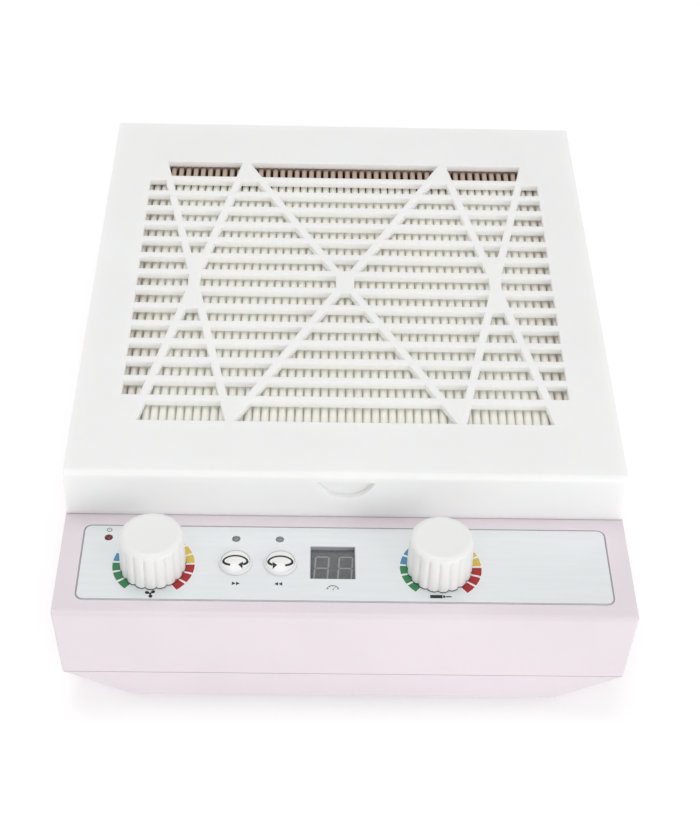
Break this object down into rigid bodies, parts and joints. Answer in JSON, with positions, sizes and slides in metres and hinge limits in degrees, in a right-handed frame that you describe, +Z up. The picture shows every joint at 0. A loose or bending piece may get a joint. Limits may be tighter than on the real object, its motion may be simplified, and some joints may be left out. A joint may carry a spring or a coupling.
{
  "type": "nail dust collector",
  "caption": "Table-top nail dust collector: a pale pink case with a hinged white grille cover over a pleated filter, a fan inside, and a deck with knobs, keys and a small display.",
  "frame": {"origin": "middle of the bottom of the bounding box, on the table between the feet", "axes": "+X is right seen from the front, +Y is back towards the cover hinges, +Z is up"},
  "size_m": [0.236, 0.3204, 0.0815],
  "materials": {
    "case_pink": "pale pink ABS housing, satin with a faint moulded grain",
    "cover_white": "white ABS cover, satin",
    "steel": "plain plated steel",
    "foam": "dark grey closed-cell foam strip",
    "filter_card": "cream card filter frame",
    "filter_paper": "cream pleated filter paper, browner in the folds",
    "panel_silver": "silver-white printed control label with a thin dark edge",
    "knob_white": "white fluted knob, satin",
    "plated_metal": "dull plated metal shell",
    "button_white": "glossy white key cap with a curved arrow",
    "button_ring": "light grey ring around the key",
    "black_plastic": "black moulded plastic",
    "display_smoke": "smoked display window with unlit digits",
    "light_red": "unlit dark red indicator",
    "light_grey": "unlit grey indicator",
    "circuit_board": "green lacquered circuit board",
    "capacitor_sleeve": "dark blue shrink sleeve",
    "heat_sink": "dull extruded aluminium",
    "grey_plastic": "light grey moulded plastic",
    "rocker_black": "black rocker",
    "lead_black": "black insulated lead",
    "lead_red": "red insulated lead",
    "lead_grey": "grey flat lead",
    "foot_rubber": "dark rubber foot"
  },
  "bodies": {
    "case": {"upper_case": "case_pink", "bottom_pan": "case_pink", "hinge_pin_left": "steel", "hinge_pin_right": "steel", "filter_gasket": "foam", "filter_frame": "filter_card", "filter_pleats": "filter_paper", "control_panel": "panel_silver", "fan_dial_base": "plated_metal", "drill_dial_base": "plated_metal", "forward_button_ring": "button_ring", "reverse_button_ring": "button_ring", "forward_key_switch": "black_plastic", "reverse_key_switch": "black_plastic", "display_lens": "display_smoke", "display_module": "black_plastic", "power_light": "light_red", "forward_light": "light_grey", "reverse_light": "light_grey", "control_board": "circuit_board", "drive_board": "circuit_board", "drive_capacitor": "capacitor_sleeve", "drive_heat_sink": "heat_sink", "fan_inlet_plate": "grey_plastic", "fan_guard": "steel", "fan_scroll": "grey_plastic", "motor_body": "plated_metal", "motor_bearing_upper": "steel", "motor_bearing_lower": "steel", "motor_bracket": "steel", "power_switch_body": "black_plastic", "dc_inlet": "black_plastic", "handpiece_socket": "plated_metal", "inlet_lead": "lead_black", "fan_lead": "lead_red", "panel_lead": "lead_grey", "case_screw_front_left": "steel", "foot_front_left": "foot_rubber", "case_screw_front_right": "steel", "foot_front_right": "foot_rubber", "case_screw_rear_left": "steel", "foot_rear_left": "foot_rubber", "case_screw_rear_right": "steel", "foot_rear_right": "foot_rubber"},
    "cover": {"top_cover": "cover_white"},
    "fan_dial": {"fan_knob": "knob_white", "fan_dial_shaft": "steel"},
    "drill_dial": {"drill_knob": "knob_white", "drill_dial_shaft": "steel"},
    "forward_key": {"forward_button": "button_white"},
    "reverse_key": {"reverse_button": "button_white"},
    "fan_wheel": {"impeller": "black_plastic", "motor_shaft": "steel"},
    "rocker": {"power_rocker": "rocker_black"}
  },
  "joints": [
    {"name": "cover_hinge", "type": "hinge", "parent": "case", "child": "cover", "pos_m": [0, 0.15765, 0.05715], "axis": [-1, 0, 0], "range_deg": [0, 100]},
    {"name": "fan_dial_turn", "type": "hinge", "parent": "case", "child": "fan_dial", "pos_m": [-0.07905, -0.13375, 0.0578], "axis": [0, 0, -1], "range_deg": [0, 285]},
    {"name": "drill_dial_turn", "type": "hinge", "parent": "case", "child": "drill_dial", "pos_m": [0.0386, -0.13375, 0.0578], "axis": [0, 0, -1], "range_deg": [0, 285]},
    {"name": "forward_key_press", "type": "slide", "parent": "case", "child": "forward_key", "axis": [0, 0, -1], "range_m": [0, 0.0008], "stiffness_N_per_m": 900, "springref_m": -0.0008},
    {"name": "reverse_key_press", "type": "slide", "parent": "case", "child": "reverse_key", "axis": [0, 0, -1], "range_m": [0, 0.0008], "stiffness_N_per_m": 900, "springref_m": -0.0008},
    {"name": "fan_spin", "type": "hinge", "parent": "case", "child": "fan_wheel", "pos_m": [0, 0.02425, 0.012], "axis": [0, 0, 1], "continuous": true},
    {"name": "power_rocker_tilt", "type": "hinge", "parent": "case", "child": "rocker", "pos_m": [-0.06, 0.15495, 0.033], "axis": [1, 0, 0], "range_deg": [0, 20]}
  ]
}
